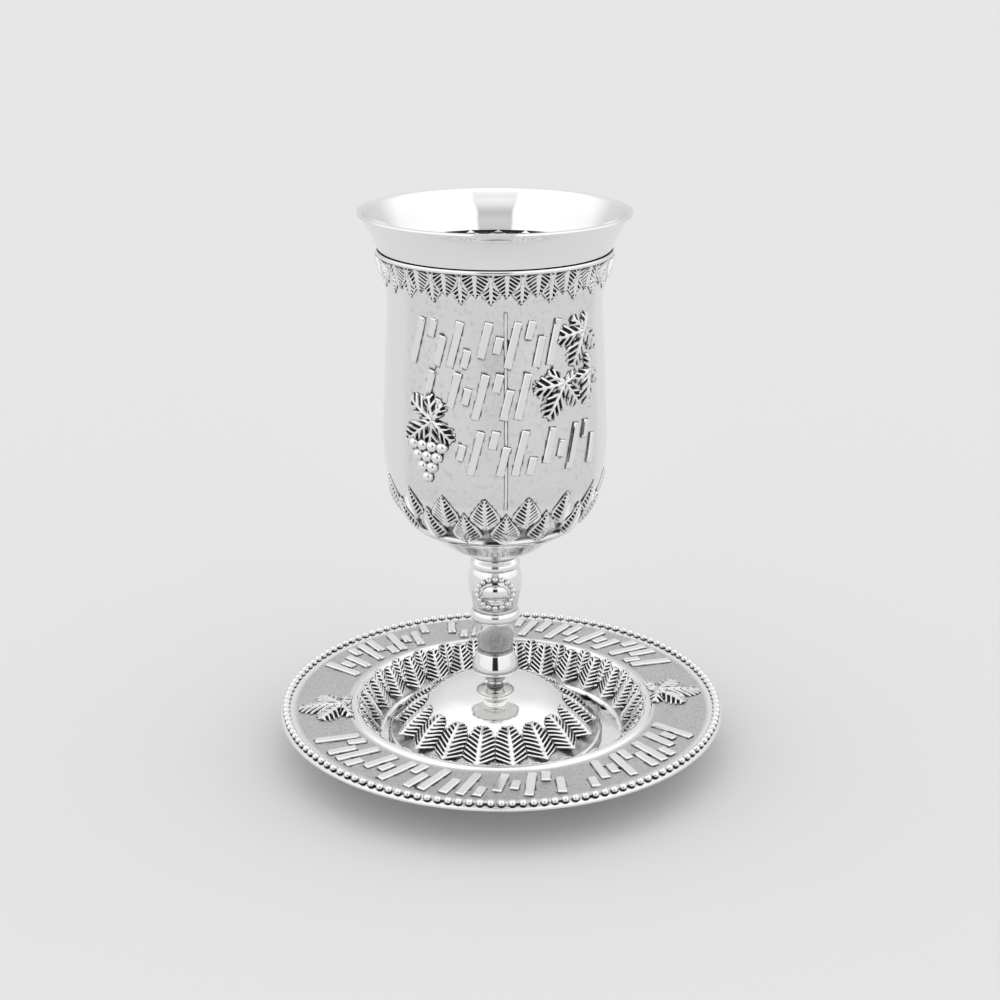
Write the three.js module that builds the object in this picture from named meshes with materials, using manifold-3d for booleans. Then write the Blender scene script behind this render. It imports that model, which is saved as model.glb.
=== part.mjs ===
// Kiddush cup on its saucer: a cast silver-coloured goblet with a smooth liner, standing loose in a
// deep-welled plate. Units are millimetres and +Z is up. The origin is the middle of the saucer's
// underside, on the table. The front of the cup faces -Y.
import * as THREE from 'three';
import { mergeVertices } from 'three/addons/utils/BufferGeometryUtils.js';
import Module from 'manifold-3d';

const wasm = await Module();
wasm.setup();

// ---- Driving dimensions -------------------------------------------------------------------------

const TOTAL_HEIGHT = 160;
const SAUCER_RADIUS = 65.5;
const WELL_FLOOR = 3;                 // top of the saucer's floor, where the foot stands
const BORDER_LEVEL = 13.5;            // top of the saucer's flat border
const CUP_SHIFT = [-1.8, 1.0];        // the loose cup stands a little off the saucer's middle
const FOOT_TOP = 19.6;                // where the stem meets the foot's dome
const STEM_TOP = 61.5;                // where the stem meets the bowl
const BOWL_FLOOR = 63.5;              // inside floor of the bowl, where the liner rests
const LIP_TOP = 149.5;                // top edge of the decorated bowl
const FRONT = -90;                    // angle of the cup's front, in degrees from +X

const ROUND = { liner: 36, bowl: 36, stem: 20, foot: 36, saucer: 48 };

const LEAF_LIFT = 1.3;                // how far a leaf's crown stands proud of its wall
const LEAF_EDGE = 0.5;                // how far a leaf's edge stands proud
const ORNAMENT_SINK = 0.6;            // how far a joined ornament reaches into the metal behind it
const STROKE_LIFT = 0.8;
const STROKE_WIDTH = 2.2;
const STROKE_LEAN = 14;               // degrees from the upright
const BERRY_RADIUS = 1.65;
const BERRY_LIFT = 0.4;
const BERRY_PITCH = [3.0, 2.8];       // between berries of a row, and between rows
const MEDALLION_LIFT = [0.7, 1.5];    // at its rim, and at its middle
const SAUCER_TURN = 6;                // the loose saucer is turned a little under the cup

// Ornament of the bowl: turns are degrees from the front, to the right; lengths are upright.
const BOWL_STROKES = [
  { height: 129, from: -44, to: 32, count: 4, length: 11 },
  { height: 115.6, from: -36, to: 15, count: 3, length: 10.5 },
  { height: 100.5, from: -18, to: 58, count: 4, length: 11 },
];
const BOWL_VINES = [
  { turn: 50, height: 130.6, length: 6.6, heading: 250 },
  { turn: 36, height: 117.6, length: 6.8, heading: 245 },
  { turn: 54.5, height: 119, length: 6, heading: 265 },
  { turn: -31, height: 108.6, length: 6.6, heading: 250 },
  { turn: 176, height: 118, length: 7.5, heading: 270 },
];
const GRAPES = { turn: -33, height: 101.2, rows: [3, 3, 2, 1] };
const MEDALLION = { turns: [0, 180], height: 50.2, knop: 7.8, across: 5.2, up: 4.4, corners: 12 };

// Ornament of the saucer's border, in two halves: turns are degrees from the front of the saucer.
const BORDER_MIDDLE = 53.5;
const BORDER_STROKES = [
  { from: -66, to: -25, count: 4, length: 12.5 },
  { from: -20, to: 14, count: 3, length: 12 },
  { from: 20, to: 63, count: 4, length: 12.5 },
];
const BORDER_VINE = { radius: 48.5, length: 11 };

// Bands of upright leaves: their number, the turn of a front leaf from the front, and heights. `root`
// is the band's straight edge, `tips` and `notches` the leaves' points and the notches between them,
// front row first.
const UPPER_BAND = { count: 24, turn: 5.8, root: 147.8, tips: [142.2, 140.1], notches: [144.8, 141.8] };
const LOWER_BAND = { count: 16, turn: 6, root: 73.2, tips: [82.4, 87.4], notches: [77.6, 83.2] };
const FOOT_BAND = { count: 18, turn: 10, root: 5.2, tips: [13.2], notches: [10.2] };
const WELL_BAND = { count: 28, turn: SAUCER_TURN, root: 3.8, tips: [12.2, 12.9], notches: [9, 12.5] };

// ---- Profiles, each a list of [radius, height] --------------------------------------------------

const LINER_OUTSIDE = [
  [0, BOWL_FLOOR], [8, BOWL_FLOOR], [15.1, 66.3], [19.5, 69.6], [23.8, 76.1], [26.6, 80.8],
  [28.6, 87], [29.5, 95], [28.4, 134], [29.3, 142], [31.9, 149.3], [34.6, 155.6], [36.6, 158.4],
  [37.55, 159.3], [37.2, TOTAL_HEIGHT],
];
const LINER_INSIDE = [
  [36.2, 159.8], [33.7, 155.8], [31, 149.4], [28.4, 142], [27.5, 134], [28.6, 95], [27.6, 86.8],
  [25.7, 81], [23, 76.6], [18.8, 70.3], [14.6, 67.2], [8, 64.6], [0, 64.5],
];

const BOWL_WALL = [
  [23.6, 72.8], [24.6, 73.8], [26.9, 76.8], [28.6, 79.9], [29.9, 83.4], [31.2, 88.9], [31.6, 95],
  [31.4, 104], [30.6, 120], [29.9, 136], [30.2, 141], [30.9, 145.4], [31.4, 148.2],
];
const BOWL_FOOT = [
  [0, STEM_TOP], [9.4, STEM_TOP], [13, 63.2], [17.3, 66.3], [21.5, 69.5], [23.9, 71.2], [24.2, 72.4],
];
const BOWL_LIP = [[32.6, 148.3], [32.8, 149], [32.6, LIP_TOP]];
const BOWL_INSIDE = [
  [32.3, LIP_TOP], [29.7, 142], [28.8, 134], [29.9, 95], [29, 86.6], [27, 80.3], [24.2, 75.8],
  [20, 69.4], [15.6, 66], [9, BOWL_FLOOR], [0, BOWL_FLOOR],
];

const STEM_OUTSIDE = [
  [0, FOOT_TOP], [3.4, FOOT_TOP], [2.5, 20.5], [2.5, 22.2], [5.6, 22.9], [6.7, 23.8], [6.8, 24.8], [6.3, 26.6],
  [5.6, 29.2], [5.3, 29.8], [5.3, 31], [5.7, 34.2], [6.2, 39.6], [7.2, 40.6], [7.2, 42.2], [6.5, 43.4],
  [7.3, 47.7], [7.9, 51], [7.8, 53.5], [6.9, 56.2], [7.3, 56.8], [7.3, 58], [6.3, 59.6], [6.3, 60.4],
  [9.4, STEM_TOP], [0, STEM_TOP],
];

const FOOT_INSIDE = [[0, 18], [10, 16.8], [15, 14.7], [20.5, 11.2], [26.2, 6.2], [29.2, WELL_FLOOR]];
const FOOT_FLANGE = [[31.6, WELL_FLOOR], [32.1, 3.6], [31.9, 4.6]];
const FOOT_WALL = [[30.3, 5], [28.6, 5.8], [25.7, 8.9], [22, 12.2], [20.6, 13.6]];
const FOOT_DOME = [[16, 16.5], [11, 18.2], [6.5, 19.2], [3.4, FOOT_TOP], [0, FOOT_TOP]];

const WELL_WALL = [[36.5, WELL_FLOOR], [38.6, 6.4], [42, BORDER_LEVEL - 0.4]];
const SAUCER_UNDERSIDE = [
  [0, 1], [33.4, 1], [34.2, 0], [37.2, 0], [38.2, 1.2], [43.8, 11.2], [46, 11.8], [63.6, 11.8],
];
const SAUCER_BORDER = [
  [SAUCER_RADIUS, 12.5], [SAUCER_RADIUS, 13.2], [64.4, 14.6], [63, 14.6], [61.9, BORDER_LEVEL],
  [44.4, BORDER_LEVEL], [43.4, 14.2], [42.6, 14],
];

// Vine leaf: lobes round the stalk, with their reach and the notches' as shares of the leaf's length.
const VINE_LOBES = [0.62, 0.8, 1, 0.8, 0.62];
const VINE_NOTCH = 0.33;
const VINE_SPREAD = 300;              // angle that the lobes share
const VINE_LIFT = [0.5, 1.4];         // at the edge, and at the stalk

// ---- Helpers ------------------------------------------------------------------------------------

const radians = THREE.MathUtils.degToRad;

/** Height or radius read off a profile by straight lines between its points. */
function radiusAt(profile, height) {
  const points = [...profile].sort((a, b) => a[1] - b[1]);
  const upper = Math.max(1, points.findIndex(([, z]) => z >= height));
  const [r0, z0] = points[upper - 1];
  const [r1, z1] = points[upper];
  return r0 + (r1 - r0) * (height - z0) / (z1 - z0);
}

/** A closed manifold solid from a geometry whose faces point out. */
function solidOf(geometry) {
  geometry.deleteAttribute('normal');
  geometry.deleteAttribute('uv');
  const merged = mergeVertices(geometry, 1e-4);
  const corners = merged.index.array;
  const triVerts = [];
  for (let i = 0; i < corners.length; i += 3) {
    const [a, b, c] = corners.slice(i, i + 3);
    if (a !== b && b !== c && c !== a) {
      triVerts.push(a, b, c);
    }
  }
  return new wasm.Manifold(new wasm.Mesh({
    numProp: 3,
    vertProperties: new Float32Array(merged.getAttribute('position').array),
    triVerts: new Uint32Array(triVerts),
  }));
}

/** Solid of revolution about +Z. */
function turned(profile, segments) {
  const geometry = new THREE.LatheGeometry(profile.map(([r, z]) => new THREE.Vector2(r, z)), segments);
  geometry.rotateX(Math.PI / 2);
  return solidOf(geometry);
}

/** Ring of points round the axis; `spot(k)` gives the [radius, height] of point k, counted from `turn`. */
function ring(count, turn, spot) {
  const step = 2 * Math.PI / count;
  const first = THREE.MathUtils.euclideanModulo(radians(turn), step);
  const skipped = Math.round((first - radians(turn)) / step);
  return Array.from({ length: count }, (_, i) => {
    const angle = first + i * step;
    const [radius, height] = spot(THREE.MathUtils.euclideanModulo(i + skipped, count));
    return { angle, point: new THREE.Vector3(radius * Math.cos(angle), radius * Math.sin(angle), height) };
  });
}

/** Plain round rings on a profile; a point on the axis is a ring of one. */
function plainRings(profile, count) {
  return profile.map(([r, z]) => ring(r === 0 ? 1 : count, 0, () => [r, z]));
}

/** Triangles between two rings, which may differ in count, by stepping to the nearer next angle. */
function bridge(lower, upper, low, high) {
  const nextAngle = (loop, i) => {
    if (loop.length === 1 || i === loop.length) {
      return Infinity;
    }
    return i + 1 < loop.length ? loop[i + 1].angle : loop[0].angle + 2 * Math.PI;
  };
  const faces = [];
  let i = 0;
  let j = 0;
  while (Math.min(nextAngle(lower, i), nextAngle(upper, j)) < Infinity) {
    if (nextAngle(lower, i) <= nextAngle(upper, j)) {
      faces.push(low(i), low(i + 1), high(j));
      i += 1;
    } else {
      faces.push(low(i), high(j + 1), high(j));
      j += 1;
    }
  }
  return faces;
}

/** Solid from rings stacked from the axis, over the outside, and back to the axis. */
function stacked(rings) {
  const geometry = new THREE.BufferGeometry().setFromPoints(rings.flat().map(({ point }) => point));
  const faces = [];
  let start = 0;
  for (let k = 0; k + 1 < rings.length; k += 1) {
    const lower = rings[k];
    const upper = rings[k + 1];
    const lowerStart = start;
    const upperStart = start + lower.length;
    const low = (i) => lowerStart + i % lower.length;
    const high = (j) => upperStart + j % upper.length;
    faces.push(...bridge(lower, upper, low, high));
    start = upperStart;
  }
  geometry.setIndex(faces);
  return solidOf(geometry);
}

/**
 * Rings of a band of pointed leaves on a wall, from its root edge to the wall past its tips. Even
 * points are the middles of the front row and odd points those of the back row. `side` is -1 on a
 * wall that faces the axis.
 */
function leafRings(wall, { count, turn, root, tips, notches }, side = 1) {
  const level = ([evenHeight, oddHeight], [evenLift, oddLift]) => ring(2 * count, FRONT + turn, (k) => {
    const [height, lift] = k % 2 === 0 ? [evenHeight, evenLift] : [oddHeight, oddLift];
    return [radiusAt(wall, height) + side * lift, height];
  });
  const middle = root + 0.45 * (tips[0] - root);
  const frontEdge = [tips[0], notches[0]];
  const rings = [
    level([root, root], [0, 0]),
    level([root, root], [LEAF_EDGE, LEAF_EDGE]),
    level([middle, middle], [LEAF_LIFT, LEAF_EDGE / 2]),
    level(frontEdge, [LEAF_EDGE, LEAF_EDGE]),
  ];
  if (tips.length === 1) {
    return [...rings, level(frontEdge, [0, 0])];
  }
  const backEdge = [notches[1], tips[1]];
  return [
    ...rings,
    level(frontEdge, [LEAF_EDGE / 4, LEAF_EDGE * 0.8]),
    level(backEdge, [LEAF_EDGE / 8, LEAF_EDGE]),
    level(backEdge, [0, 0]),
  ];
}

/** Solid between two loops of points that run the same way; a crown point domes the front. */
function relief(front, back, crown = null) {
  const count = front.length;
  const faces = [];
  for (let i = 0; i < count; i += 1) {
    const next = (i + 1) % count;
    faces.push(i, count + i, count + next, i, count + next, next);
    if (crown) {
      faces.push(2 * count, i, next);
    }
    if (i > 0 && next > 0) {
      faces.push(count, count + next, count + i);
      faces.push(...(crown ? [] : [0, i, next]));
    }
  }
  const points = crown ? [...front, ...back, crown] : [...front, ...back];
  const geometry = new THREE.BufferGeometry().setFromPoints(points);
  geometry.setIndex(faces);
  return solidOf(geometry);
}

// A place turns (across, along, lift) in millimetres into a point, with the lift away from the metal.

/** Place round a wall, about the height `height`: along is upward. */
function wallPlace(wall, degrees, height) {
  return (across, along, lift) => {
    const radius = radiusAt(wall, height + along);
    const angle = radians(degrees) + across / radius;
    return new THREE.Vector3(
      (radius + lift) * Math.cos(angle),
      (radius + lift) * Math.sin(angle),
      height + along,
    );
  };
}

/** Place on the saucer's border, about the radius `middle`: along is towards the axis. */
function borderPlace(degrees, middle) {
  return (across, along, lift) => {
    const angle = radians(degrees) + across / middle;
    const radius = middle - along;
    return new THREE.Vector3(radius * Math.cos(angle), radius * Math.sin(angle), BORDER_LEVEL + lift);
  };
}

/** Ornament with a given outline of [across, along], reaching into the metal behind it. */
function applique(place, outline, lift, crown = null, sink = ORNAMENT_SINK) {
  const front = outline.map(([across, along]) => place(across, along, lift));
  const back = outline.map(([across, along]) => place(across, along, -sink));
  return relief(front, back, crown);
}

/** Vine leaf of pointed lobes round its stalk, the middle lobe along `heading`. */
function vineLeaf(place, length, heading) {
  const step = radians(VINE_SPREAD / VINE_LOBES.length);
  const outline = VINE_LOBES.flatMap((reach, i) => {
    const middle = radians(heading) + (i - (VINE_LOBES.length - 1) / 2) * step;
    return [[middle - step / 2, VINE_NOTCH], [middle, reach]];
  }).map(([angle, share]) => [share * length * Math.cos(angle), share * length * Math.sin(angle)]);
  const [edgeLift, stalkLift] = VINE_LIFT;
  return applique(place, outline, edgeLift, place(0, 0, stalkLift));
}

/** Straight raised stroke that leans a little from the upright. */
function stroke(place, length) {
  const middle = new THREE.Vector2();
  const outline = [[-1, -1], [1, -1], [1, 1], [-1, 1]].map(([a, b]) => {
    const corner = new THREE.Vector2(a * STROKE_WIDTH / 2, b * length / 2);
    return corner.rotateAround(middle, radians(-STROKE_LEAN)).toArray();
  });
  return applique(place, outline, STROKE_LIFT);
}

/** Leaning strokes in a row, one to a cell, from one angle to another. */
function strokeRow(placeAt, { from, to, count, length }) {
  const pitch = (to - from) / count;
  return Array.from({ length: count }, (_, i) => stroke(placeAt(from + (i + 0.5) * pitch), length));
}

/** Bunch of berries, half sunk, that narrows downward row by row. */
function bunch(place, rows) {
  const [pitch, drop] = BERRY_PITCH;
  return rows.flatMap((count, row) => Array.from({ length: count }, (_, i) => {
    const { x, y, z } = place((i - (count - 1) / 2) * pitch, -row * drop, BERRY_LIFT);
    const geometry = new THREE.IcosahedronGeometry(BERRY_RADIUS, 0);
    geometry.translate(x, y, z);
    return solidOf(geometry);
  }));
}

/** Everything joined into one solid. */
function joined(solids) {
  return solids.reduce((whole, solid) => whole.add(solid));
}

// ---- Pieces -------------------------------------------------------------------------------------

function innerCup() {
  return turned([...LINER_OUTSIDE, ...LINER_INSIDE], ROUND.liner);
}

function bowlSleeve() {
  const between = BOWL_WALL.filter(([, z]) => z > LOWER_BAND.tips[1] && z < UPPER_BAND.tips[1]);
  const shell = stacked([
    ...plainRings(BOWL_FOOT, ROUND.bowl),
    ...leafRings(BOWL_WALL, LOWER_BAND),
    ...plainRings(between, ROUND.bowl),
    ...leafRings(BOWL_WALL, UPPER_BAND).reverse(),
    ...plainRings([...BOWL_LIP, ...BOWL_INSIDE], ROUND.bowl),
  ]);
  const at = (turn, height) => wallPlace(BOWL_WALL, FRONT + turn, height);
  const rows = BOWL_STROKES.flatMap(({ height, ...row }) => strokeRow((turn) => at(turn, height), row));
  const vines = BOWL_VINES.map(({ turn, height, length, heading }) => {
    return vineLeaf(at(turn, height), length, heading);
  });
  const grapes = bunch(at(GRAPES.turn, GRAPES.height), GRAPES.rows);
  return joined([shell, ...rows, ...vines, ...grapes]);
}

function stem() {
  const { height, across, up, corners, knop, turns } = MEDALLION;
  const rim = Array.from({ length: corners }, (_, i) => {
    const angle = 2 * Math.PI * i / corners;
    return [across * Math.cos(angle), up * Math.sin(angle)];
  });
  const medallions = turns.map((turn) => {
    const place = wallPlace([[knop, 0], [knop, STEM_TOP]], FRONT + turn, height);
    return applique(place, rim, MEDALLION_LIFT[0], place(0, 0, MEDALLION_LIFT[1]), knop / 3);
  });
  return joined([turned(STEM_OUTSIDE, ROUND.stem), ...medallions]);
}

function foot() {
  return stacked([
    ...plainRings([...FOOT_INSIDE, ...FOOT_FLANGE], ROUND.foot),
    ...leafRings(FOOT_WALL, FOOT_BAND),
    ...plainRings(FOOT_DOME, ROUND.foot),
  ]);
}

function saucer() {
  const plate = stacked([
    ...plainRings([...SAUCER_UNDERSIDE, ...SAUCER_BORDER], ROUND.saucer),
    ...leafRings(WELL_WALL, WELL_BAND, -1).reverse(),
    ...plainRings([WELL_WALL[0], [0, WELL_FLOOR]], ROUND.saucer),
  ]);
  const at = (turn, radius) => borderPlace(FRONT + SAUCER_TURN + turn, radius);
  const arcs = [0, 180].flatMap((side) => BORDER_STROKES.flatMap((row) => {
    return strokeRow((turn) => at(turn + side, BORDER_MIDDLE), row);
  }));
  const vines = [90, 270].map((side) => vineLeaf(at(side, BORDER_VINE.radius), BORDER_VINE.length, 270));
  return joined([plate, ...arcs, ...vines]);
}

// ---- Scene graph --------------------------------------------------------------------------------

/** Named mesh of a solid, in its own metal. */
function piece(name, solid, { color, roughness }) {
  const { vertProperties, triVerts, numProp } = solid.getMesh();
  const geometry = new THREE.BufferGeometry();
  geometry.setAttribute('position', new THREE.BufferAttribute(new Float32Array(vertProperties), numProp));
  geometry.setIndex(new THREE.BufferAttribute(new Uint32Array(triVerts), 1));
  geometry.computeVertexNormals();
  const mesh = new THREE.Mesh(geometry, new THREE.MeshStandardMaterial({ color, roughness, metalness: 1 }));
  mesh.name = name;
  return mesh;
}

const cup = new THREE.Group();
cup.position.set(...CUP_SHIFT, 0);
cup.add(
  piece('inner_cup', innerCup(), { color: 0xf2f2f0, roughness: 0.06 }),
  piece('bowl_sleeve', bowlSleeve(), { color: 0xe4e3e1, roughness: 0.22 }),
  piece('stem', stem(), { color: 0xe6e5e3, roughness: 0.14 }),
  piece('foot', foot(), { color: 0xe8e7e5, roughness: 0.12 }),
);

const set = new THREE.Group();
set.add(cup, piece('saucer', saucer(), { color: 0xdddcda, roughness: 0.3 }));

export default set;
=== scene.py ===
"""Kiddush cup on its saucer, in cast and polished silver-coloured metal.

The tables are in millimetres, in the frame of the CAD part; a mesh becomes metres when it is finished.
Turns are degrees from the cup's front, to the right as seen from the front.
"""
import math

import bmesh
import bpy
import numpy as np
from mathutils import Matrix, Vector, kdtree


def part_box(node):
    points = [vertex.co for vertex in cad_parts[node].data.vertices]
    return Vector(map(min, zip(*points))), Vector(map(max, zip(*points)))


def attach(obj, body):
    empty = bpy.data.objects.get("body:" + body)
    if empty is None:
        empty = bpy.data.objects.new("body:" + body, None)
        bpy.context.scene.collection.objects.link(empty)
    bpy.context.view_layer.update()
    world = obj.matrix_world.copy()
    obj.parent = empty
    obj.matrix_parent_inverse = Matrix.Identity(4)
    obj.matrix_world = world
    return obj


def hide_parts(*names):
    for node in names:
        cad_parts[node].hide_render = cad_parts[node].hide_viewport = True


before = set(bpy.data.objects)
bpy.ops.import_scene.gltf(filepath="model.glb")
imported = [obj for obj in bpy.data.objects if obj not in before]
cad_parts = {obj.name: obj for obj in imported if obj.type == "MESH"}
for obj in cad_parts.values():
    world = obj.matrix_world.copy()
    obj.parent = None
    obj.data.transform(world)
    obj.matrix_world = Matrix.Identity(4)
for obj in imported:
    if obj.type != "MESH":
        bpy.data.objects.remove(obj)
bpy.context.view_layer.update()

MM = 0.001
FRONT = -90.0


def axis_of(node):
    """Where a node's axis stands on the table, in millimetres."""
    low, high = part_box(node)
    middle = (low + high) / 2 / MM
    return np.array([middle.x, middle.y])


CUP = axis_of("inner_cup")
PLATE = axis_of("saucer")
SAUCER_TURN = 6.0

# ---- Profiles: [radius, height], with True after a sharp corner -----------------------------------

LINER = [
    (0, 63.5), (8, 63.5), (15.1, 66.3), (19.5, 69.6), (23.8, 76.1), (26.6, 80.8), (28.6, 87), (29.5, 95),
    (29.0, 114), (28.4, 134), (28.9, 140.5), (29.9, 144.2), (31.4, 148.2), (32.3, 150.3), (33.3, 152.6),
    (34.5, 154.8), (35.7, 156.8), (36.7, 158.3), (37.3, 158.95), (37.62, 159.45), (37.45, 159.85),
    (36.9, 160), (36.3, 159.7), (35.1, 157.8), (33.6, 155.2), (32.3, 152), (31.2, 149.4), (29.5, 144.9),
    (28.4, 141.4), (27.5, 134), (28.1, 114), (28.6, 95), (27.6, 86.8), (25.7, 81), (23, 76.6),
    (18.8, 70.3), (14.6, 67.2), (8, 64.6), (0, 64.5),
]
BOWL_WALL = [
    (23.6, 72.8), (24.6, 73.8), (26.9, 76.8), (28.6, 79.9), (29.9, 83.4), (31.2, 88.9), (31.6, 95),
    (31.4, 104), (30.6, 120), (29.9, 136), (30.2, 141), (30.9, 145.4), (31.4, 148.2),
]
BOWL_UNDER = [
    (0, 61.5), (9.4, 61.5, True), (13, 63.2), (17.3, 66.3), (21.4, 69.4, True), (22.6, 69.9),
    (23.8, 70.7), (24.3, 71.7), (24.1, 72.5), (23.6, 72.8, True),
]
BOWL_LIP = [
    (31.4, 148.2, True), (32.2, 148.25), (32.65, 148.5), (32.75, 148.9), (32.6, 149.3),
    (32.45, 149.45), (32.3, 149.45),
]
BOWL_INSIDE = [
    (29.7, 142), (28.8, 134), (29.5, 114), (29.9, 95), (29, 86.6), (27, 80.3), (24.2, 75.8), (20, 69.4),
    (15.6, 66), (9, 63.5, True), (0, 63.5),
]
KNOP = [(6.5, 43.4), (6.8, 45), (7.3, 47.7), (7.8, 50.2), (7.9, 51.6), (7.8, 53.5), (7.4, 55.2)]
STEM = [
    (0, 19.6), (3.4, 19.6, True), (2.7, 20.3), (2.5, 21.1), (2.5, 22.2, True), (5.6, 22.85, True),
    (6.4, 23.15), (6.8, 23.7), (6.85, 24.6), (6.65, 25.7), (6.25, 27.1), (5.6, 29.2, True), (5.3, 29.7),
    (5.25, 30.8), (5.4, 32.5), (5.8, 35.5), (6.2, 39.4, True), (6.8, 39.7), (7.2, 40.4), (7.25, 41.3),
    (7.1, 42.3), (6.6, 43, True), *KNOP, (6.9, 56.2, True), (7.2, 56.6), (7.35, 57.2), (7.25, 58),
    (6.7, 58.8), (6.3, 59.4, True), (6.3, 60.2), (6.9, 60.7, True), (8, 60.8), (9, 61.1),
    (9.4, 61.5, True), (0, 61.5),
]
FOOT_WALL = [(30.9, 4.85), (30.2, 5.0), (28.6, 5.9), (25.7, 8.9), (22, 12.3), (20.2, 13.8), (17.9, 15.5)]
FOOT_UNDER = [
    (0, 18), (10, 16.8), (15, 14.7), (20.5, 11.2), (26.2, 6.2), (29.2, 3, True), (31.4, 3, True),
    (31.8, 3.05), (32.1, 3.5), (32.1, 4.2), (31.7, 4.7), (30.9, 4.85, True),
]
FOOT_DOME = [(17.9, 15.5), (15.4, 16.9), (11, 18.4), (6.5, 19.3), (3.4, 19.6, True), (0, 19.6)]

WELL_WALL = [(42.6, 14.0), (41.9, 12.9), (40.4, 9.8), (38.6, 6.4), (36.5, 3.4)]
SAUCER_FLOOR = [(36.5, 3.4, True), (36.1, 3.05), (35.4, 3), (20, 3), (0, 3)]
SAUCER_UNDER = [
    (0, 1), (33.2, 1, True), (33.9, 0.35), (34.4, 0, True), (37, 0, True), (37.6, 0.3), (38.4, 1.4),
    (41, 6.4), (43.8, 11), (46.4, 11.8), (55, 11.9), (63.2, 11.9, True), (64.9, 12.2), (65.45, 12.6),
    (65.4, 13.1), (64.9, 13.35),
]
BORDER_RING = [(44.9, 13.5, True), (44.5, 14.0), (43.9, 14.3), (43.1, 14.35), (42.6, 14.0, True)]
BORDER_OUT = 61.8
BORDER_IN = 44.9
BORDER_LEVEL = 13.5
BEAD_SEAT = [(64.9, 13.35, True), (63.4, 13.7), (62.3, 13.6), (BORDER_OUT, BORDER_LEVEL, True)]

# Stretches of the profiles darkened with patina and painted shade: inner and outer radius, low and high.
PATINA_AND_SHADE_LEVEL = 0.66
BOWL_DARK = [(23.2, 28.6, 72.6, 78.2), (30.6, 31.45, 144.2, 148.3)]
# The stem's boxes are its neck under the bell and its grooves; painted shade with patina darkens them.
STEM_DARK = [(0, 3.0, 19.5, 22.9), (5.0, 5.45, 29.4, 31.0), (6.2, 6.65, 42.9, 43.5), (6.2, 6.5, 59.2, 60.5)]
FOOT_DARK = [(22.5, 31.5, 4.8, 11.8)]
WELL_DARK = [(36.6, 42.3, 3.5, 13.4)]

# ---- Ornament -------------------------------------------------------------------------------------

# A band's leaves: `root` is where their row starts, `length` their reach along the wall, `half` half
# their width, `slope` how steeply the veins run to the tip, `shape` the straight share of the sides and
# the two powers of the point. `bury` is how far a straight-cut root runs under the lip.
UPPER_FRONT = dict(count=24, turn=5.8, root=148.2, length=9.5, half=3.85, slope=0.8, shape=(0.295, 1.15, 1),
                   ribs=8, depth=0.55, dome=0.8, edge=0.6, rim=True, midrib=0.42, bury=0.4)
UPPER_BACK = dict(count=24, turn=13.3, root=147.5, length=10.7, half=3.6, slope=0.8, shape=(0.3, 1.15, 1),
                  ribs=8, depth=0.42, dome=0.4, edge=0.3, rim=True, midrib=0.42, bury=0.4)
LOWER_FRONT = dict(count=16, turn=6.05, root=72.8, length=11.3, half=4.05, slope=0.8, shape=(0.12, 1.1, 0.95),
                   ribs=9, depth=0.62, dome=0.85, edge=0.75, rim=True, midrib=0.45)
LOWER_BACK = dict(count=16, turn=17.3, root=77.6, length=10.3, half=4.05, slope=0.8, shape=(0.12, 1.1, 0.95),
                  ribs=8, depth=0.5, dome=0.5, edge=0.35, rim=True, midrib=0.45)
FOOT_LEAVES = dict(count=18, turn=10, root=5.3, length=12.6, half=4.7, slope=0.62, shape=(0, 1.7, 0.52),
                   ribs=9, depth=0.6, dome=1.3, edge=0.35, rim=False)
WELL_FRONT = dict(count=28, turn=SAUCER_TURN, root=3.9, length=10.9, half=4.0, slope=0.66, shape=(0, 2, 0.6),
                  ribs=8, depth=0.55, dome=1.0, edge=0.4, rim=False)
WELL_BACK = dict(count=28, turn=SAUCER_TURN + 180 / 28, root=7.6, length=7.6, half=3.0, slope=0.66,
                 shape=(0, 2, 0.6), ribs=6, depth=0.35, dome=0.5, edge=0.25, rim=True)

# Vine leaves on the bowl: turn and height of the stalk, and each lobe's direction (from the right,
# upward) and reach.
VINES = [
    (50.0, 131.4, ((245, 10.2), (188, 9.0), (318, 8.2), (138, 5.4), (70, 4.6))),
    (53.6, 120.3, ((262, 9.4), (205, 5.6), (318, 6.0), (95, 4.2))),
    (36.0, 118.3, ((240, 10.6), (187, 9.0), (306, 8.2), (150, 5.8), (20, 4.6))),
    (-30.8, 108.3, ((219, 12.2), (262, 7.0), (316, 7.6), (148, 9.4), (104, 7.0), (62, 5.6))),
    (170.0, 129.5, ((252, 9.6), (196, 8.4), (312, 8.0), (140, 5.2), (60, 4.6))),
    (184.0, 119.5, ((270, 9.6), (214, 8.0), (330, 7.6), (110, 4.6))),
    (162.0, 117.4, ((236, 9.4), (180, 7.2), (300, 7.2), (110, 4.8))),
]
BUNCHES = [(-34.4, 101.0, (4, 3, 2, 1)), (176.0, 106.4, (4, 3, 2, 1))]
BERRY = dict(radius=1.62, lift=0.35, across=3.02, down=2.9)

# Rows of parallel strokes: the height, first and last turn, number of strokes and the row's height.
BOWL_ROWS = [
    (129.4, -42, 31, 11, 12.6), (115.6, -35, 14, 8, 12.6), (100.2, -16.5, 56, 11, 12.6),
    (129.4, 112, 158, 8, 12.6), (115.6, 114, 152, 7, 12.6), (129.4, 200, 248, 8, 12.6),
    (115.6, 204, 246, 7, 12.6), (100.2, 200, 248, 8, 12.6),
]
BORDER_MIDDLE = 53.4
BORDER_ROWS = [(-61, -20, 11, 12.8), (-14, 17.5, 8, 12.4), (27, 67, 11, 12.8)]
BORDER_VINE_TURNS = (95.6, -83.5)
BORDER_VINE_RADIUS = 47.4
BORDER_VINE = ((90, 12.6), (140, 10.4), (40, 10.4), (194, 7.0), (346, 7.0))
STROKE = dict(lift=0.72, chamfer=0.25)
BOWL_STROKE_WIDTH = 2.1
BORDER_STROKE_WIDTH = 2.5
STROKE_LEAN = 14.0
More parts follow.
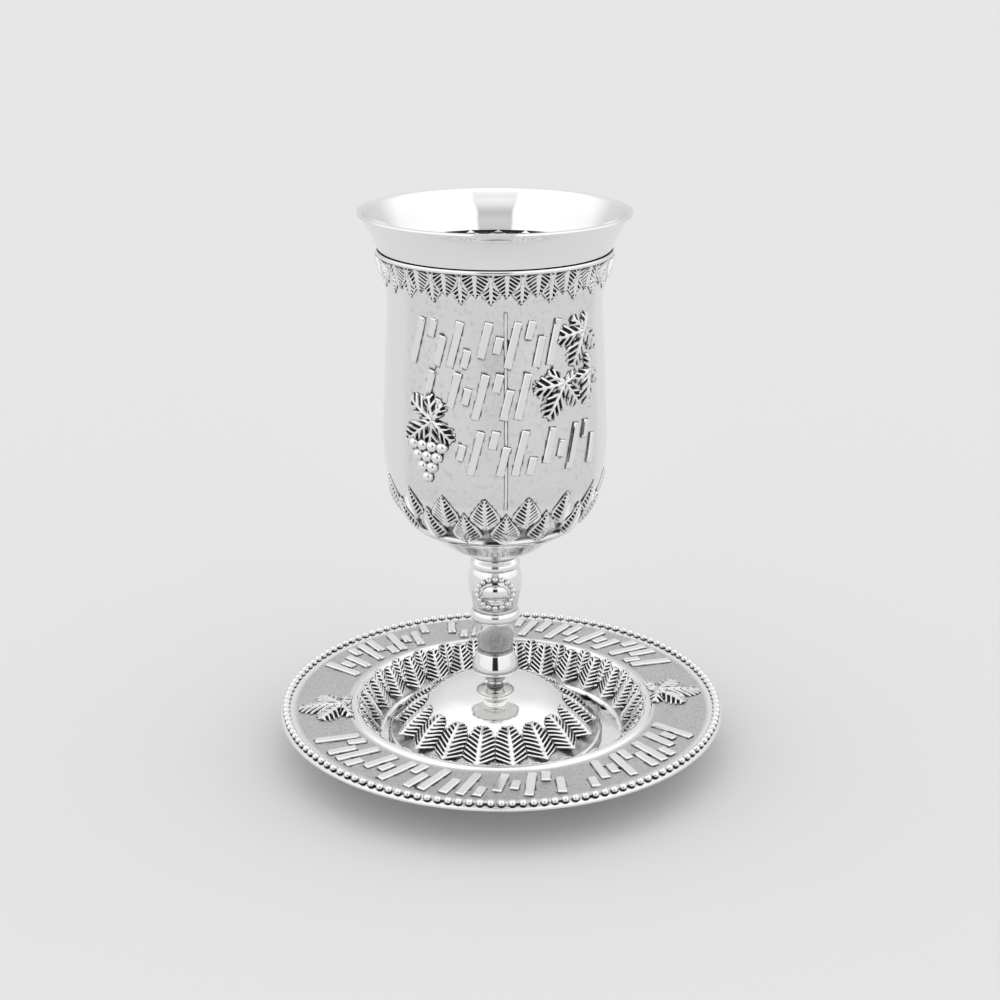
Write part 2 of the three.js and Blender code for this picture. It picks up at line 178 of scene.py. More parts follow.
# Each stroke's length and middle in turn, as shares of the row's height.
STROKE_RHYTHM = ((1.0, 0.0), (0.4, 0.3), (0.66, -0.17), (1.0, 0.0), (0.4, -0.3), (0.78, 0.11), (0.36, 0.0))

BEADS = 140
BEAD_CIRCLE = 63.75
BEAD_RADIUS = 1.08
BEAD_HEIGHT = 14.1

MEDALLION_TURNS = (0, 180)
MEDALLION_HEIGHT = 50.2
MEDALLION_BEADS = 18
MEDALLION_SPAN = (5.3, 4.55)
MEDALLION_BEAD = 0.78
MEDALLION_PLATE = (5.4, 4.6, 0.6)
CABOCHON = (3.8, 2.95, 1.45)

SINK = 0.6


# ---- Lines and walls ------------------------------------------------------------------------------

def smooth_run(points, step):
    """Points about `step` apart on a smooth line through `points`, without the last one."""
    line = np.array(points, float)
    chord = np.linalg.norm(np.diff(line, axis=0), axis=1)
    if len(line) == 2:
        slope = np.repeat((line[1:] - line[:1]) / chord[:, None], 2, axis=0)
    else:
        slope = np.gradient(line, np.concatenate([[0], np.cumsum(chord)]), axis=0)
    out = []
    for i, length in enumerate(chord):
        t = np.arange(max(1, round(length / step)))[:, None] / max(1, round(length / step))
        out.append((2 * t**3 - 3 * t**2 + 1) * line[i] + (t**3 - 2 * t**2 + t) * length * slope[i]
                   + (3 * t**2 - 2 * t**3) * line[i + 1] + (t**3 - t**2) * length * slope[i + 1])
    return np.concatenate(out)


def smooth_line(points, step):
    """Points about `step` apart along a profile that turns sharply only at its marked corners."""
    runs, run = [], []
    for point in points:
        run.append(point[:2])
        if len(point) > 2 and len(run) > 1:
            runs.append(run)
            run = [point[:2]]
    if len(run) > 1:
        runs.append(run)
    dense = [smooth_run(run, step) for run in runs]
    return np.concatenate(dense + [np.array([points[-1][:2]], float)])


def joined_lines(*lines):
    """Profiles end to end, without the points that repeat."""
    whole = np.concatenate(lines)
    keep = np.concatenate([[True], np.linalg.norm(np.diff(whole, axis=0), axis=1) > 1e-4])
    whole = whole[keep]
    whole[whole[:, 0] < 1e-4, 0] = 0
    return whole


class Wall:
    """Turned wall that carries ornament; `s` runs along its profile, with the metal on its left."""

    def __init__(self, points, axis, step=0.1):
        self.line = smooth_line(points, step)
        self.axis = axis
        tangent = np.gradient(self.line, axis=0)
        tangent /= np.linalg.norm(tangent, axis=1)[:, None]
        self.normal = np.stack([tangent[:, 1], -tangent[:, 0]], axis=1)
        chord = np.linalg.norm(np.diff(self.line, axis=0), axis=1)
        self.s = np.concatenate([[0], np.cumsum(chord)])

    def at(self, s):
        """Radius, height and outward normal at s; beyond an end the wall goes straight on."""
        inside = np.clip(s, 0, self.s[-1])
        r, z, nr, nz = (np.interp(inside, self.s, column) for column in (*self.line.T, *self.normal.T))
        over = s - inside
        return r - over * nz, z + over * nr, nr, nz

    def s_of(self, height):
        order = np.argsort(self.line[:, 1])
        return float(np.interp(height, self.line[order, 1], self.s[order]))

    def place(self, turn, s0, heading=90.0):
        """Maps (across, along, lift) to a point, `along` going in the direction `heading`."""
        angle = math.radians(heading - 90)
        cos, sin = math.cos(angle), math.sin(angle)

        def put(across, along, lift):
            a = across * cos - along * sin
            b = across * sin + along * cos
            r, z, nr, nz = self.at(s0 + b)
            azimuth = math.radians(FRONT + turn) + a / r
            out = r + lift * nr
            x = self.axis[0] + out * np.cos(azimuth)
            y = self.axis[1] + out * np.sin(azimuth)
            return np.stack([x, y, z + lift * nz], axis=-1)

        return put


# ---- Solids ---------------------------------------------------------------------------------------

def solid(points, faces, tarnish, ground):
    """A closed mesh facing outward, with its values at each point."""
    points = np.asarray(points, float)
    middle = points.mean(axis=0)
    volume = 0.0
    for face in faces:
        a, b, c = (points[list(face[i:i + 1])][0] - middle for i in (0, 1, 2))
        volume += float(np.dot(a, np.cross(b, c)))
        if len(face) == 4:
            d = points[face[3]] - middle
            volume += float(np.dot(a, np.cross(c, d)))
    if volume < 0:
        faces = [tuple(reversed(face)) for face in faces]
    count = len(points)
    return dict(points=points, faces=faces, tarnish=np.broadcast_to(tarnish, count).astype(float),
                ground=np.broadcast_to(ground, count).astype(float))


def merged(solids):
    """Several closed meshes as one."""
    points, faces, tarnish, ground, start = [], [], [], [], 0
    for one in solids:
        points.append(one["points"])
        faces.extend(tuple(start + i for i in face) for face in one["faces"])
        tarnish.append(one["tarnish"])
        ground.append(one["ground"])
        start += len(one["points"])
    return dict(points=np.concatenate(points), faces=faces, tarnish=np.concatenate(tarnish),
                ground=np.concatenate(ground))


def lathe(line, segments, axis, values=None, relief=None, dark=()):
    """Solid turned from a profile. `values(turn, r, z)` gives the ground's share; `relief` alike a lift.
    `dark` lists boxes of the profile (inner and outer radius, low and high) that are darkened with patina and
    painted shade."""
    azimuth = np.arange(segments) * 2 * math.pi / segments
    turn = np.degrees(azimuth) - FRONT
    tangent = np.gradient(line, axis=0)
    tangent /= np.maximum(np.linalg.norm(tangent, axis=1), 1e-9)[:, None]
    points, rings, marks, tarnish = [], [], [], []
    for (r, z), (tr, tz) in zip(line, tangent):
        share = values(turn, r, z) if values else np.zeros(segments)
        # Patina and painted shade: points inside the dark boxes get the darkening level.
        shaded = PATINA_AND_SHADE_LEVEL * any(a <= r <= b and low <= z <= high for a, b, low, high in dark)
        tarnish += [shaded] * (1 if r == 0 else segments)
        if r == 0:
            rings.append([len(points)])
            points.append((axis[0], axis[1], z))
            marks.append(share[:1])
            continue
        lift = relief(turn, r, z) if relief else np.zeros(segments)
        rings.append(list(range(len(points), len(points) + segments)))
        out = r + lift * tz
        points.extend(zip(axis[0] + out * np.cos(azimuth), axis[1] + out * np.sin(azimuth), z - lift * tr))
        marks.append(share)
    faces = []
    closed = line[0][0] > 0 and line[-1][0] > 0
    for lower, upper in zip(rings, rings[1:] + ([rings[0]] if closed else [])):
        if len(lower) == 1 and len(upper) == 1:
            continue
        for i in range(segments):
            j = (i + 1) % segments
            if len(lower) == 1:
                faces.append((lower[0], upper[j], upper[i]))
            elif len(upper) == 1:
                faces.append((lower[i], lower[j], upper[0]))
            else:
                faces.append((lower[i], lower[j], upper[j], upper[i]))
    return solid(points, faces, np.array(tarnish), np.concatenate(marks))


def sheet(put, across, along, lift, tarnish, sink=SINK):
    """Relief whose front is a grid of rows and columns, with sides down into the metal and a back."""
    rows, columns = across.shape
    front = put(across, along, lift).reshape(-1, 3)
    ends = [0, columns - 1]
    back = put(across[:, ends], along[:, ends], np.full((rows, 2), -sink)).reshape(-1, 3)
    first = rows * columns
    faces = []
    for i in range(rows - 1):
        for j in range(columns - 1):
            a = i * columns + j
            faces.append((a, a + 1, a + columns + 1, a + columns))
        left, right = i * columns, i * columns + columns - 1
        back_left, back_right = first + 2 * i, first + 2 * i + 1
        faces.append((back_left, left, left + columns, back_left + 2))
        faces.append((right, back_right, back_right + 2, right + columns))
        faces.append((back_left, back_left + 2, back_right + 2, back_right))
    for row, flip in ((0, False), (rows - 1, True)):
        start = row * columns
        loop = [start + j for j in range(columns)]
        low_left, low_right = first + 2 * row, first + 2 * row + 1
        middle = columns // 2
        fan = [(low_left, low_right, loop[middle])]
        fan += [(low_left, loop[j + 1], loop[j]) for j in range(middle)]
        fan += [(low_right, loop[j + 1], loop[j]) for j in range(middle, columns - 1)]
        faces += [tuple(reversed(face)) for face in fan] if flip else fan
    # Painted shade with patina: the back points are fully dark, so the relief's sides darken towards the wall.
    marks = np.concatenate([tarnish.reshape(-1), np.ones(2 * rows)])
    return solid(np.concatenate([front, back]), faces, marks, 0.0)


RIB_SECTION = ((0, 1), (0.2, 0.9), (0.34, 0), (0.66, 0), (0.8, 0.9))
HALF_COLUMNS = np.array([0, 0.12, 0.74, 0.87, 1])


def ribbed_leaf(put, length, half, slope, outline, ribs, depth, dome, edge, rim, midrib=0.3, teeth=0.0,
                bury=None):
    """Leaf with a midrib and slanting veins cut between its ribs, its rows running along the veins."""
    t = np.array([(i + a) / ribs for i in range(ribs) for a, _ in RIB_SECTION] + [1.0])
    cut = np.array([share for _ in range(ribs) for _, share in RIB_SECTION] + [0.0])
    cut[0] = 0.0
    wide = np.maximum(half * outline(t), 0.1) * (1 - teeth * np.clip(cut, 0, 1))
    rib = np.minimum(midrib / wide, 0.4)[:, None]
    side = rib + (1 - rib) * HALF_COLUMNS
    share = np.concatenate([-side[:, ::-1], np.zeros((len(t), 1)), side], axis=1)
    reach = np.array([0, 1, 1, 0, 0]) if rim else np.array([0, 1, 1, 1, 1])
    mask = np.concatenate([reach[::-1], [0], reach])
    across = share * wide[:, None]
    along = t[:, None] * length + slope * np.abs(across)
    if bury is not None:
        along = along - slope * half - bury
        along = np.where(along < -bury, 0.02 * (along + bury) - bury, along)
    crown = (1 - np.abs(share) ** 2.3) * (1 - 0.75 * t[:, None] ** 4)
    trough = np.clip(cut, -1, 1)[:, None] * mask
    lift = edge + dome * crown - depth * trough
    lift[:, len(HALF_COLUMNS)] += 0.12
    # The cuts between the ribs are darkened: patina and painted shade in the hollows.
    tarnish = np.clip(trough * 1.1, 0, 1)
    return sheet(put, across, along, lift, tarnish)


def band(wall, upward, count, turn, root, length, half, slope, shape, **cuts):
    """A row of leaves round a wall, tips up or down."""
    straight, a, b = shape
    outline = lambda t: (1 - np.clip((t - straight) / (1 - straight), 0, 1) ** a) ** b
    s0 = wall.s_of(root)
    heading = 90.0 if upward else 270.0
    return [
        ribbed_leaf(wall.place(turn + i * 360 / count, s0, heading), length, half, slope, outline, **cuts)
        for i in range(count)
    ]


def vine_leaf(wall, turn, s0, lobes, twist=0.0):
    """Lobes of a vine leaf fanned round its stalk, each lobe a toothed and veined tongue."""
    made = []
    for heading, reach in lobes:
        outline = lambda t: (0.45 + 0.55 * np.clip(t / 0.3, 0, 1)) * np.maximum(1 - t**2.2, 0) ** 0.75
        made.append(ribbed_leaf(
            wall.place(turn, s0, heading + twist), reach, 0.32 * reach + 0.3, 1.05, outline,
            ribs=max(3, round(reach / 2.1)), depth=0.75, dome=1.0, edge=0.42, rim=False, midrib=0.3,
            teeth=0.28,
        ))
    return made


def stroke(put, x, y, length, tilt, width, lift, chamfer):
    """Straight flat-topped bar about (x, y), its long side turned clockwise by `tilt` degrees."""
    ends = np.array([-0.5, -0.5 + chamfer / length] + list(np.linspace(-0.35, 0.35, 4))
                    + [0.5 - chamfer / length, 0.5]) * length
    sides = np.array([-0.5, -0.5 + chamfer / width, 0, 0.5 - chamfer / width, 0.5]) * width
    u, v = np.meshgrid(sides, ends)
    tops = np.full(u.shape, lift)
    tops[[0, -1], :] -= chamfer
    tops[:, [0, -1]] = lift - chamfer
    angle = math.radians(tilt)
    across = x + u * math.cos(angle) + v * math.sin(angle)
    along = y - u * math.sin(angle) + v * math.cos(angle)
    return sheet(put, across, along, tops, np.zeros(u.shape))


def stroke_row(wall, s0, start, end, count, tall, width, first=0):
    """Strokes side by side, all leaning alike, in a rhythm of long and short ones."""
    made = []
    for i in range(count):
        share, middle = STROKE_RHYTHM[(i + first) % len(STROKE_RHYTHM)]
        put = wall.place(start + (end - start) * i / (count - 1), s0)
        lean = math.radians(STROKE_LEAN)
        made.append(stroke(put, middle * tall * math.tan(lean), middle * tall, share * tall, STROKE_LEAN,
                           width, **STROKE))
    return made


def ball(subdivisions):
    """Points and faces of a round unit ball."""
    mesh = bmesh.new()
    bmesh.ops.create_icosphere(mesh, subdivisions=subdivisions, radius=1)
    points = np.array([v.co for v in mesh.verts])
    faces = [tuple(v.index for v in face.verts) for face in mesh.faces]
    mesh.free()
    return points, faces


BALL = ball(3)


def berry(put, x, y, lift, radii, shape=BALL):
    """Rounded lump at (x, y) on a wall, its middle at `lift`."""
    points, faces = shape
    a, b, c = radii
    # Painted shade with patina: the lump darkens towards its base on the wall.
    tarnish = np.clip((0.15 - points[:, 2]) * 2.5, 0, 1)
    placed = put(x + a * points[:, 0], y + b * points[:, 1], lift + c * points[:, 2])
    return solid(placed, faces, tarnish, 0.0)


# ---- Blender meshes -------------------------------------------------------------------------------

def mesh_of(name, part):
    mesh = bpy.data.meshes.new(name)
    mesh.from_pydata([tuple(p) for p in part["points"]], [], part["faces"])
    mesh.update()
    return mesh


def united(name, base, batches):
    """One mesh object from a base and batches of solids; the solids of a batch don't touch each other."""
    whole = bpy.data.objects.new(name, mesh_of(name, base))
    bpy.context.scene.collection.objects.link(whole)
    tools = []
    for batch in batches:
        tool = bpy.data.objects.new(name + "_tool", mesh_of(name + "_tool", merged(batch)))
        bpy.context.scene.collection.objects.link(tool)
        join = whole.modifiers.new("join", "BOOLEAN")
        join.operation, join.solver, join.object = "UNION", "MANIFOLD", tool
        tools.append(tool)
    bpy.context.view_layer.update()
    result = bpy.data.meshes.new_from_object(whole.evaluated_get(bpy.context.evaluated_depsgraph_get()))
    whole.modifiers.clear()
    for tool in tools:
        mesh = tool.data
        bpy.data.objects.remove(tool)
        bpy.data.meshes.remove(mesh)
    whole.data = result
    carry_values(result, [base] + [one for batch in batches for one in batch])
    print(name, "points", len(result.vertices), "faces", len(result.polygons),
          "triangles", sum(len(p.vertices) - 2 for p in result.polygons))
    return whole


# Darkening of the creases where ornament meets the wall: patina and painted shade.
JOINT_PATINA_AND_SHADE = 0.85


def carry_values(mesh, parts):
    """Gives each point its source's values; a point made where two solids meet is darkened with patina and
    painted shade in the crease.
    """
    source = np.concatenate([part["points"] for part in parts])
    tarnish = np.concatenate([part["tarnish"] for part in parts])
    ground = np.concatenate([part["ground"] for part in parts])
    tree = kdtree.KDTree(len(source))
    for i, point in enumerate(source):
        tree.insert(point, i)
    tree.balance()
    out = np.zeros((2, len(mesh.vertices)), np.float32)
    for i, vertex in enumerate(mesh.vertices):
        _, nearest, distance = tree.find(vertex.co)
        out[0, i] = tarnish[nearest] if distance < 2e-3 else max(JOINT_PATINA_AND_SHADE, tarnish[nearest])
        out[1, i] = ground[nearest]
    for name, values in (("tarnish", out[0]), ("ground", out[1])):
        mesh.attributes.new(name, "FLOAT", "POINT").data.foreach_set("value", values)


def finished(obj, node, material, sharp):
    """Puts a piece in metres, smooth but for its sharp edges, in its node's place."""
    points = np.empty(len(obj.data.vertices) * 3, np.float32)
    obj.data.vertices.foreach_get("co", points)
    obj.data.vertices.foreach_set("co", points * MM)
    obj.data.polygons.foreach_set("use_smooth", [True] * len(obj.data.polygons))
    obj.data.set_sharp_from_angle(angle=math.radians(sharp))
    obj.data.materials.clear()
    obj.data.materials.append(material)
    obj.data.update()
    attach(obj, "root")
    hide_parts(node)
    return obj


# ---- Materials ------------------------------------------------------------------------------------

def cast_metal(name, silver, polish, ground_colour, ground_polish, pitting, grain, grain_depth, swell,
               swell_depth):
    """Silver-coloured metal, darkened in its recesses with patina and painted shade, with a textured ground
    between raised ornament.
    """
    material = bpy.data.materials.new(name)
    material.use_nodes = True
    nodes, links = material.node_tree.nodes, material.node_tree.links
    shader = nodes["Principled BSDF"]
    shader.inputs["Metallic"].default_value = 1.0
    place = nodes.new("ShaderNodeTexCoord")

    def value_of(attribute):
        node = nodes.new("ShaderNodeAttribute")
        node.attribute_name = attribute
        return node.outputs["Fac"]

    def noise(scale, detail, rough=0.5):
        node = nodes.new("ShaderNodeTexNoise")
        node.inputs["Scale"].default_value = scale
        node.inputs["Detail"].default_value = detail
        node.inputs["Roughness"].default_value = rough
        links.new(place.outputs["Object"], node.inputs["Vector"])
        return node.outputs["Fac"]

    def math_node(operation, a, b, c=None):
        node = nodes.new("ShaderNodeMath")
        node.operation = operation
        for socket, value in zip(node.inputs, (a, b, c)):
            if isinstance(value, (int, float)):
                socket.default_value = value
            elif value is not None:
                links.new(value, socket)
        return node.outputs[0]

    def ramp(value, low, high, to_low=0.0, to_high=1.0):
        node = nodes.new("ShaderNodeMapRange")
        node.interpolation_type = "SMOOTHSTEP"
        for socket, amount in zip(list(node.inputs)[1:5], (low, high, to_low, to_high)):
            socket.default_value = amount
        links.new(value, node.inputs[0])
        return node.outputs[0]

    def blend(factor, a, b):
        node = nodes.new("ShaderNodeMix")
        node.data_type = "RGBA"
        links.new(factor, node.inputs["Factor"])
        for socket, colour in zip((node.inputs[6], node.inputs[7]), (a, b)):
            if isinstance(colour, tuple):
                socket.default_value = (*colour, 1)
            else:
                links.new(colour, socket)
        return node.outputs[2]

    ground = value_of("ground")
    patchy = noise(260, 3)
    uneven = math_node("MULTIPLY_ADD", patchy, 0.5, -0.25)
    # Patina and painted shade: the darkening values, made patchy, pull the colour towards near-black and
    # roughen it.
    dark = ramp(math_node("ADD", value_of("tarnish"), uneven), 0.3, 0.95)
    fine = noise(grain, 3, 0.6)
    pits = math_node("MULTIPLY", ramp(fine, 0.5, 0.3), ground)
    base = blend(ground, silver, ground_colour)
    speckled = blend(math_node("MULTIPLY", pits, pitting), base, (0.25, 0.25, 0.25))
    # Painted shade with patina: the dark share blends the colour to near-black.
    links.new(blend(dark, speckled, (0.035, 0.033, 0.032)), shader.inputs["Base Color"])
    worn = ramp(noise(90, 4), 0.3, 0.8, polish * 0.8, polish * 1.5)
    rough = math_node("ADD", worn, math_node("MULTIPLY", ground, ground_polish - polish))
    links.new(math_node("MULTIPLY_ADD", dark, 0.3, rough), shader.inputs["Roughness"])
    swells = nodes.new("ShaderNodeBump")
    swells.inputs["Strength"].default_value = 1.0
    swells.inputs["Distance"].default_value = swell_depth * MM
    links.new(noise(swell, 2), swells.inputs["Height"])
    grains = nodes.new("ShaderNodeBump")
    grains.inputs["Distance"].default_value = grain_depth * MM
    links.new(ground, grains.inputs["Strength"])
    links.new(fine, grains.inputs["Height"])
    links.new(swells.outputs["Normal"], grains.inputs["Normal"])
    links.new(grains.outputs["Normal"], shader.inputs["Normal"])
    return material


CAST_SILVER = (0.86, 0.855, 0.85)
LINER_METAL = cast_metal(
    "polished_liner", silver=(0.86, 0.86, 0.855), polish=0.05, ground_colour=(0.8, 0.8, 0.8),
    ground_polish=0.2, pitting=0, grain=900, grain_depth=0.0, swell=40, swell_depth=0.02)
BOWL_METAL = cast_metal(
    "cast_bowl", silver=CAST_SILVER, polish=0.12, ground_colour=(0.78, 0.78, 0.775),
    ground_polish=0.26, pitting=0.2, grain=700, grain_depth=0.03, swell=150, swell_depth=0.03)
STEM_METAL, FOOT_METAL = (cast_metal(
    name, silver=CAST_SILVER, polish=0.07, ground_colour=(0.88, 0.88, 0.87),
    ground_polish=0.2, pitting=0, grain=500, grain_depth=0.02, swell=60, swell_depth=0.02)
    for name in ("cast_stem", "cast_foot"))
PLATE_METAL = cast_metal(
    "cast_saucer", silver=(0.86, 0.86, 0.855), polish=0.13, ground_colour=(0.6, 0.6, 0.6),
    ground_polish=0.38, pitting=0.75, grain=2400, grain_depth=0.12, swell=120, swell_depth=0.03)

# ---- Pieces ---------------------------------------------------------------------------------------

ROUND = dict(liner=192, bowl=192, stem=96, foot=160, saucer=240)


def swells(turn, size, seed):
    """Smooth unevenness round a turned surface, the same at the start and end of the turn."""
    dice = np.random.default_rng(seed)
    total = np.zeros(len(turn))
    for _ in range(14):
        around, phase = dice.integers(16, 64), dice.uniform(0, 2 * math.pi)
        tall = dice.uniform(-1, 1) * 2 * math.pi / 4.5
        total += np.cos(np.radians(turn) * around + phase + tall * size)
    return total / 14


# Radii in the middle of the bowl's wall, which part its outside from its inside.
WALL_MIDDLE_HEIGHTS = (84, 95, 134, 142)
WALL_MIDDLE = (29.2, 30.7, 29.4, 30.0)
HAMMERED_MIDDLE = 6
HAMMERED_HALF = 60
HAMMERED_BACK_EXTRA = 12
HAMMERED_FADE = 6


def hammered(turn, r, z):
    """Share of the hammered ground on the bowl: front and back of its outer wall, between the bands."""
    low, *_, high = WALL_MIDDLE_HEIGHTS
    if r < np.interp(z, WALL_MIDDLE_HEIGHTS, WALL_MIDDLE) or not low < z < high:
        return np.zeros(len(turn))
    from_front = np.abs((turn - HAMMERED_MIDDLE + 180) % 360 - 180)
    from_back = 180 - from_front - HAMMERED_BACK_EXTRA
    return np.clip((HAMMERED_HALF - np.minimum(from_front, from_back)) / HAMMERED_FADE, 0, 1)


def bowl_relief(turn, r, z):
    return 0.09 * swells(turn, z, 7) * hammered(turn, r, z)


def seam(wall):
    """Low ridge where the halves of the casting met."""
    low, high = wall.s_of(84), wall.s_of(138)
    v = np.linspace(0, high - low, 40)
    u, along = np.meshgrid(np.array([-0.45, -0.15, 0.15, 0.45]), v)
    lift = np.where(np.abs(u) < 0.2, 0.14, -0.05)
    return sheet(wall.place(5.5, low), u, along, lift, np.zeros(u.shape))


def make_liner():
    base = lathe(smooth_line(LINER, 0.9), ROUND["liner"], CUP)
    return finished(united("liner", base, []), "inner_cup", LINER_METAL, 50)


def make_bowl():
    wall = Wall(BOWL_WALL, CUP)
    line = joined_lines(smooth_line(BOWL_UNDER, 1.1), smooth_line(BOWL_WALL, 1.6), smooth_line(BOWL_LIP, 0.4),
                        smooth_line([BOWL_LIP[-1][:2]] + BOWL_INSIDE, 6.0))
    base = lathe(line, ROUND["bowl"], CUP, hammered, bowl_relief, dark=BOWL_DARK)
    strokes = []
    for row, (height, *extent) in enumerate(BOWL_ROWS):
        strokes += stroke_row(wall, wall.s_of(height), *extent, BOWL_STROKE_WIDTH, first=3 * row)
    vines = [vine_leaf(wall, turn, wall.s_of(height), lobes) for turn, height, lobes in VINES]
    bunches = []
    for turn, height, rows in BUNCHES:
        put = wall.place(turn, wall.s_of(height))
        for row, count in enumerate(rows):
            for i in range(count):
                x = (i - (count - 1) / 2) * BERRY["across"]
                y = -row * BERRY["down"]
                bunches.append((row, i, berry(put, x, y, BERRY["lift"], [BERRY["radius"]] * 3)))
    batches = [
        band(wall, False, **UPPER_BACK), band(wall, False, **UPPER_FRONT),
        band(wall, True, **LOWER_BACK), band(wall, True, **LOWER_FRONT), strokes, [seam(wall)],
    ]
    for key in ((0, 0), (0, 1), (1, 0), (1, 1)):
        batches.append([one for row, i, one in bunches if (row % 2, i % 2) == key])
    batches += [[leaf[i]] for leaf in vines for i in range(len(leaf))]
    return finished(united("bowl", base, batches), "bowl_sleeve", BOWL_METAL, 38)


def make_stem():
    wall = Wall(KNOP, CUP)
    base = lathe(smooth_line(STEM, 0.35), ROUND["stem"], CUP, dark=STEM_DARK)
    frames, beads, stones = [], [], []
    for turn in MEDALLION_TURNS:
        put = wall.place(turn, wall.s_of(MEDALLION_HEIGHT))
        frames.append(berry(put, 0, 0, 0.05, MEDALLION_PLATE))
        stones.append(berry(put, 0, 0, 0.2, CABOCHON))
        for i in range(MEDALLION_BEADS):
            angle = 2 * math.pi * (i + 0.5) / MEDALLION_BEADS
            x, y = MEDALLION_SPAN[0] * math.cos(angle), MEDALLION_SPAN[1] * math.sin(angle)
            beads.append(berry(put, x, y, 0.35, (MEDALLION_BEAD,) * 3))
    return finished(united("stem", base, [frames, beads, stones]), "stem", STEM_METAL, 45)


def make_foot():
    wall = Wall(FOOT_WALL, CUP)
    line = joined_lines(smooth_line(FOOT_UNDER, 1.0), smooth_line(FOOT_WALL, 0.8), smooth_line(FOOT_DOME, 0.8))
    base = lathe(line, ROUND["foot"], CUP, dark=FOOT_DARK)
    leaves = band(wall, True, **FOOT_LEAVES)
    return finished(united("foot", base, [leaves[::2], leaves[1::2]]), "foot", FOOT_METAL, 42)


def make_saucer():
    well = Wall(WELL_WALL, PLATE)
    border = Wall([(BORDER_OUT, BORDER_LEVEL), (BORDER_IN, BORDER_LEVEL)], PLATE)
    line = joined_lines(
        smooth_line(SAUCER_UNDER, 1.4), smooth_line(BEAD_SEAT, 0.6),
        smooth_line([(BORDER_OUT, BORDER_LEVEL), (BORDER_IN, BORDER_LEVEL)], 1.3),
        smooth_line(BORDER_RING, 0.4), smooth_line(WELL_WALL, 0.8), smooth_line(SAUCER_FLOOR, 2.0),
    )
    grainy = lambda turn, r, z: np.full(len(turn), float(BORDER_IN < r < BORDER_OUT and z > 13.4))
    base = lathe(line, ROUND["saucer"], PLATE, grainy, dark=WELL_DARK)
    strokes = []
    for half_turn in (0, 180):
        for row, (start, end, count, tall) in enumerate(BORDER_ROWS):
            strokes += stroke_row(border, BORDER_OUT - BORDER_MIDDLE, start + half_turn, end + half_turn,
                                  count, tall, BORDER_STROKE_WIDTH, first=2 * row)
    vines = [vine_leaf(border, turn, BORDER_OUT - BORDER_VINE_RADIUS, BORDER_VINE, twist=180)
             for turn in BORDER_VINE_TURNS]
    beads = []
    seat = Wall([(BEAD_CIRCLE + 1, BEAD_HEIGHT), (BEAD_CIRCLE - 1, BEAD_HEIGHT)], PLATE)
    for i in range(BEADS):
        put = seat.place(i * 360 / BEADS, 1.0)
        beads.append(berry(put, 0, 0, 0, (BEAD_RADIUS,) * 3))
    fronts = band(well, False, **WELL_FRONT)
    backs = band(well, False, **WELL_BACK)
    batches = [backs, fronts, strokes, beads]
    batches += [[leaf[i] for leaf in vines] for i in range(len(BORDER_VINE))]
    return finished(united("plate", base, batches), "saucer", PLATE_METAL, 40)


for make in (make_liner, make_bowl, make_stem, make_foot, make_saucer):
    make()

# ---- Floor, light and camera ----------------------------------------------------------------------

FLOOR_HALF = 10.0
CAMERA_PLACE = (-0.0004, -0.46727, 0.24008)
CAMERA_DOWN = 19.28
CAMERA_LENS = 62.135
SKY_LEVELS = (1.0, 1.2)             # brightness at the horizon and high up
BEHIND = 0.72                       # the far side of the studio is greyer
OPENING_EDGE = (0.2, 0.3)          # half the dark opening where the camera stands, at its soft edge
OPENING_LEVELS = ((0.0, 0.02), (0.37, 0.03), (0.45, 0.4), (0.7, 0.75), (0.9, 1.0))    # upward


def make_floor():
    mesh = bpy.data.meshes.new("floor")
    edge = FLOOR_HALF
    corners = [(-edge, -edge, 0), (edge, -edge, 0), (edge, edge, 0), (-edge, edge, 0)]
    mesh.from_pydata(corners, [], [(0, 1, 2, 3)])
    floor = bpy.data.objects.new("floor", mesh)
    bpy.context.scene.collection.objects.link(floor)
    material = bpy.data.materials.new("floor")
    material.use_nodes = True
    shader = material.node_tree.nodes["Principled BSDF"]
    shader.inputs["Base Color"].default_value = (0.74, 0.74, 0.74, 1)
    shader.inputs["Roughness"].default_value = 0.9
    shader.inputs["Specular IOR Level"].default_value = 0.0
    mesh.materials.append(material)


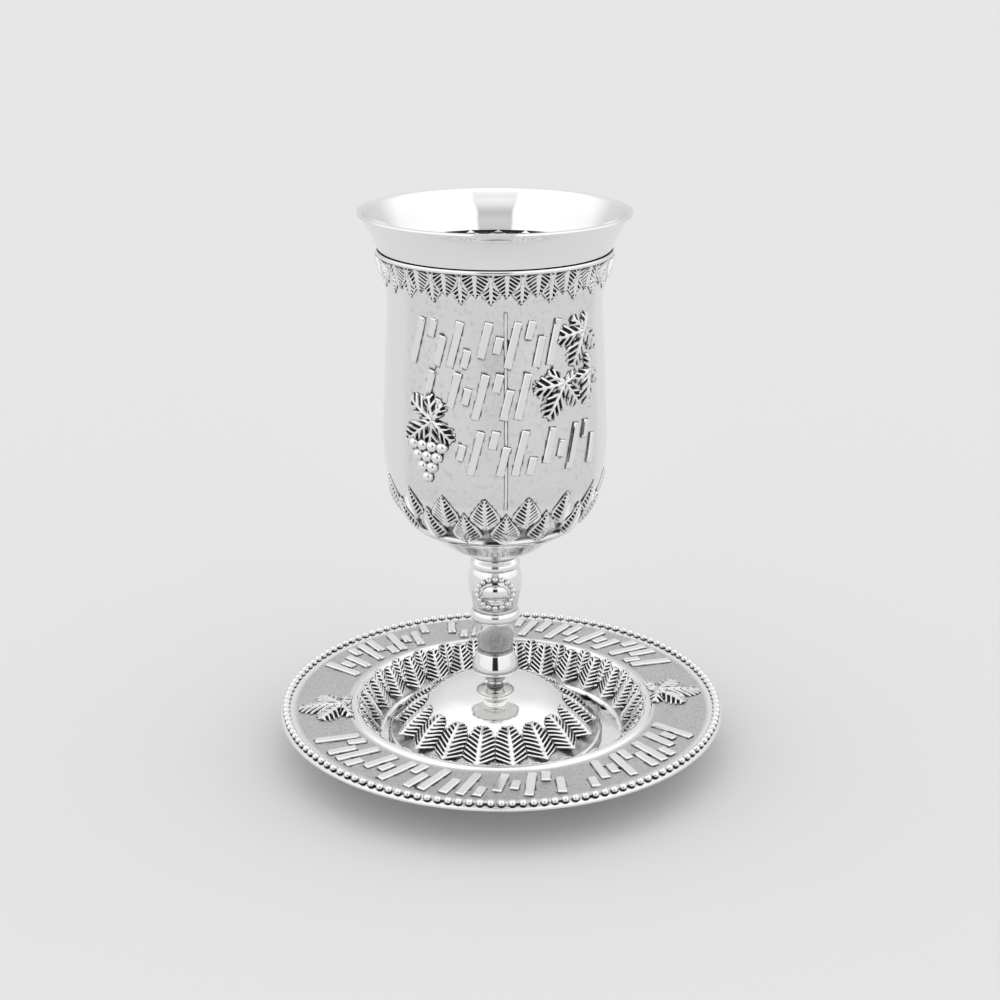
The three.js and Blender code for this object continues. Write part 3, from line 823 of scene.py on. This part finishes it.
def make_world():
    world = bpy.data.worlds.new("studio")
    bpy.context.scene.world = world
    world.use_nodes = True
    nodes, links = world.node_tree.nodes, world.node_tree.links
    place = nodes.new("ShaderNodeTexCoord")
    split = nodes.new("ShaderNodeSeparateXYZ")
    links.new(place.outputs["Generated"], split.inputs[0])

    def ramp(value, low, high, to_low, to_high):
        node = nodes.new("ShaderNodeMapRange")
        node.interpolation_type = "SMOOTHSTEP"
        for socket, amount in zip(list(node.inputs)[1:5], (low, high, to_low, to_high)):
            socket.default_value = amount
        links.new(value, node.inputs[0])
        return node.outputs[0]

    def node_of(operation, a, b=0.0):
        node = nodes.new("ShaderNodeMath")
        node.operation = operation
        links.new(a, node.inputs[0])
        if isinstance(b, float):
            node.inputs[1].default_value = b
        else:
            links.new(b, node.inputs[1])
        return node.outputs[0]

    sky = node_of("MULTIPLY", ramp(split.outputs["Z"], 0.0, 0.6, *SKY_LEVELS),
                  ramp(split.outputs["Y"], 0.25, 0.75, 1.0, BEHIND))
    aside = ramp(node_of("ABSOLUTE", split.outputs["X"]), *OPENING_EDGE, 0.0, 1.0)
    beyond = ramp(split.outputs["Y"], -0.3, -0.1, 0.0, 1.0)
    height = nodes.new("ShaderNodeValToRGB")
    (low_position, low_level), (high_position, high_level) = OPENING_LEVELS[0], OPENING_LEVELS[-1]
    low, high = height.color_ramp.elements
    low.position, low.color = low_position, (low_level, low_level, low_level, 1)
    high.position, high.color = high_position, (high_level, high_level, high_level, 1)
    for position, level in OPENING_LEVELS[1:-1]:
        height.color_ramp.elements.new(position).color = (level, level, level, 1)
    links.new(split.outputs["Z"], height.inputs[0])
    opening = node_of("MAXIMUM", node_of("MAXIMUM", aside, beyond), height.outputs[0])
    links.new(node_of("MULTIPLY", sky, opening), nodes["Background"].inputs["Color"])
    nodes["Background"].inputs["Strength"].default_value = 1.0


def make_camera():
    data = bpy.data.cameras.new("camera")
    data.lens, data.sensor_width = CAMERA_LENS, 36
    camera = bpy.data.objects.new("camera", data)
    bpy.context.scene.collection.objects.link(camera)
    camera.location = CAMERA_PLACE
    camera.rotation_euler = (math.radians(90 - CAMERA_DOWN), 0, 0)
    bpy.context.scene.camera = camera


make_floor()
make_world()
make_camera()
bpy.context.scene.view_settings.view_transform = "Standard"
